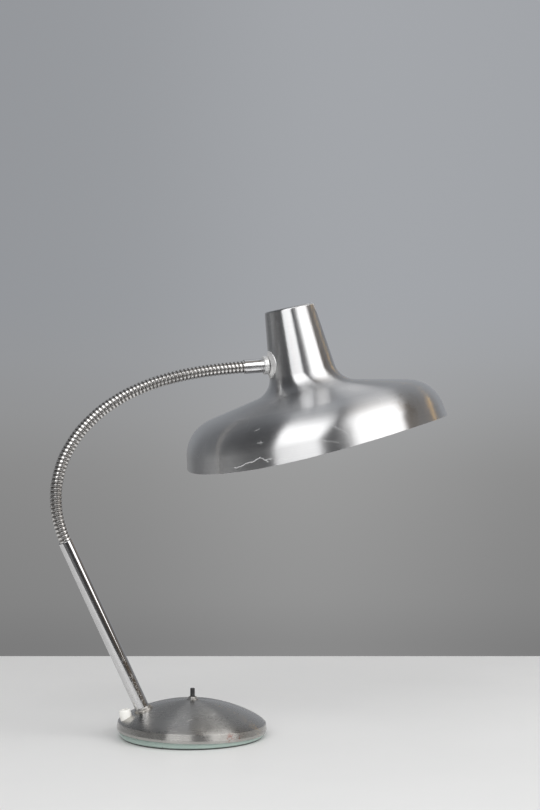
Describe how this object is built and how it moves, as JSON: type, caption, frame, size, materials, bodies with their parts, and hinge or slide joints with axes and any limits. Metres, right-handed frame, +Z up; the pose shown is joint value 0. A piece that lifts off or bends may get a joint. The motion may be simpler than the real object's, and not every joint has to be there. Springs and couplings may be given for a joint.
{
  "type": "gooseneck desk lamp",
  "caption": "Desk lamp with a wide spun shade on a swivel, a wound gooseneck on a leaning tube, and a domed weighted base with a push switch.",
  "frame": {"origin": "middle of the foot of the base, on the surface the lamp stands on", "axes": "+Z up, +X from the stem towards the shade, the stem, the neck and the shade lie in the XZ plane"},
  "size_m": [0.4915, 0.3282, 0.5281],
  "materials": {
    "brushed_cover": "brushed",
    "painted_iron": "painted pale green",
    "pad": "felt",
    "chrome_parts": "polished",
    "steel_inner": "plain",
    "black_button": "satin",
    "dark_housing": "plain",
    "white_bush": "glossy",
    "neck_wire": "polished",
    "neck_core": "dull",
    "spun_shade": "polished",
    "brass_parts": "plain",
    "holder_body": "satin",
    "bulb_glass": "frosted"
  },
  "bodies": {
    "base": {"base_cover": "brushed_cover", "base_weight": "painted_iron", "cord_gland": "white_bush", "felt_pad": "pad", "foot_collar": "chrome_parts", "foot_nipple": "steel_inner", "foot_nut": "steel_inner", "foot_plug": "steel_inner", "foot_washer": "steel_inner", "gland_nut": "steel_inner", "neck_liner_00": "neck_core", "neck_socket": "steel_inner", "neck_winding_00": "neck_wire", "stem_tube": "chrome_parts", "switch_housing": "dark_housing", "switch_nut": "chrome_parts", "switch_spring": "steel_inner", "switch_terminals": "brass_parts"},
    "neck_link_01": {"neck_winding_01": "neck_wire", "neck_liner_01": "neck_core"},
    "neck_link_02": {"neck_winding_02": "neck_wire", "neck_liner_02": "neck_core"},
    "neck_link_03": {"neck_winding_03": "neck_wire", "neck_liner_03": "neck_core"},
    "neck_link_04": {"neck_winding_04": "neck_wire", "neck_liner_04": "neck_core"},
    "neck_link_05": {"neck_winding_05": "neck_wire", "neck_liner_05": "neck_core"},
    "neck_link_06": {"neck_winding_06": "neck_wire", "neck_liner_06": "neck_core"},
    "neck_link_07": {"neck_winding_07": "neck_wire", "neck_liner_07": "neck_core"},
    "neck_link_08": {"neck_winding_08": "neck_wire", "neck_liner_08": "neck_core"},
    "neck_link_09": {"neck_winding_09": "neck_wire", "neck_liner_09": "neck_core"},
    "neck_end": {"neck_winding_10": "neck_wire", "neck_liner_10": "neck_core", "neck_ferrule": "chrome_parts", "ferrule_plug": "steel_inner", "swivel_collar": "chrome_parts"},
    "shade_body": {"swivel_nipple": "steel_inner", "shade_saddle": "chrome_parts", "shade": "spun_shade", "inner_saddle": "steel_inner", "swivel_nut": "steel_inner", "holder_bracket": "steel_inner", "holder_nipple": "steel_inner", "holder_nut": "steel_inner", "holder_cap": "holder_body", "holder_shell": "holder_body", "holder_core": "holder_body", "holder_ring": "holder_body", "holder_thread": "brass_parts", "holder_contact": "brass_parts", "bulb_cap": "brass_parts", "bulb_glass": "bulb_glass"},
    "button": {"switch_button": "black_button"}
  },
  "joints": [
    {"name": "neck_nod_1", "type": "hinge", "parent": "base", "child": "neck_link_01", "pos_m": [-0.15846, 0, 0.24899], "axis": [0, 1, 0], "range_deg": [-10, 10]},
    {"name": "neck_sway_1", "type": "hinge", "parent": "neck_link_01", "child": "neck_link_02", "pos_m": [-0.16567, 0, 0.28527], "axis": [-0.9979, 0, -0.0641], "range_deg": [-10, 10]},
    {"name": "neck_nod_2", "type": "hinge", "parent": "neck_link_02", "child": "neck_link_03", "pos_m": [-0.16176, 0, 0.32198], "axis": [0, 1, 0], "range_deg": [-10, 10]},
    {"name": "neck_sway_2", "type": "hinge", "parent": "neck_link_03", "child": "neck_link_04", "pos_m": [-0.14658, 0, 0.35569], "axis": [-0.8419, 0, 0.5397], "range_deg": [-10, 10]},
    {"name": "neck_nod_3", "type": "hinge", "parent": "neck_link_04", "child": "neck_link_05", "pos_m": [-0.12293, 0, 0.38415], "axis": [0, 1, 0], "range_deg": [-10, 10]},
    {"name": "neck_sway_3", "type": "hinge", "parent": "neck_link_05", "child": "neck_link_06", "pos_m": [-0.09347, 0, 0.4066], "axis": [-0.5217, 0, 0.8532], "range_deg": [-10, 10]},
    {"name": "neck_nod_4", "type": "hinge", "parent": "neck_link_06", "child": "neck_link_07", "pos_m": [-0.06034, 0, 0.4232], "axis": [0, 1, 0], "range_deg": [-10, 10]},
    {"name": "neck_sway_4", "type": "hinge", "parent": "neck_link_07", "child": "neck_link_08", "pos_m": [-0.02508, 0, 0.43466], "axis": [-0.2455, 0, 0.9694], "range_deg": [-10, 10]},
    {"name": "neck_nod_5", "type": "hinge", "parent": "neck_link_08", "child": "neck_link_09", "pos_m": [0.01125, 0, 0.44206], "axis": [0, 1, 0], "range_deg": [-10, 10]},
    {"name": "neck_sway_5", "type": "hinge", "parent": "neck_link_09", "child": "neck_end", "pos_m": [0.04805, 0, 0.44674], "axis": [-0.0985, 0, 0.9951], "range_deg": [-10, 10]},
    {"name": "shade_swivel", "type": "hinge", "parent": "neck_end", "child": "shade_body", "pos_m": [0.09442, 0, 0.45083], "axis": [0.9964, 0, 0.0851], "range_deg": [-90, 90]},
    {"name": "switch_press", "type": "slide", "parent": "base", "child": "button", "axis": [0, 0, -1], "range_m": [0, 0.003], "stiffness_N_per_m": 400, "springref_m": -0.002, "deforming": ["switch_spring"]}
  ]
}
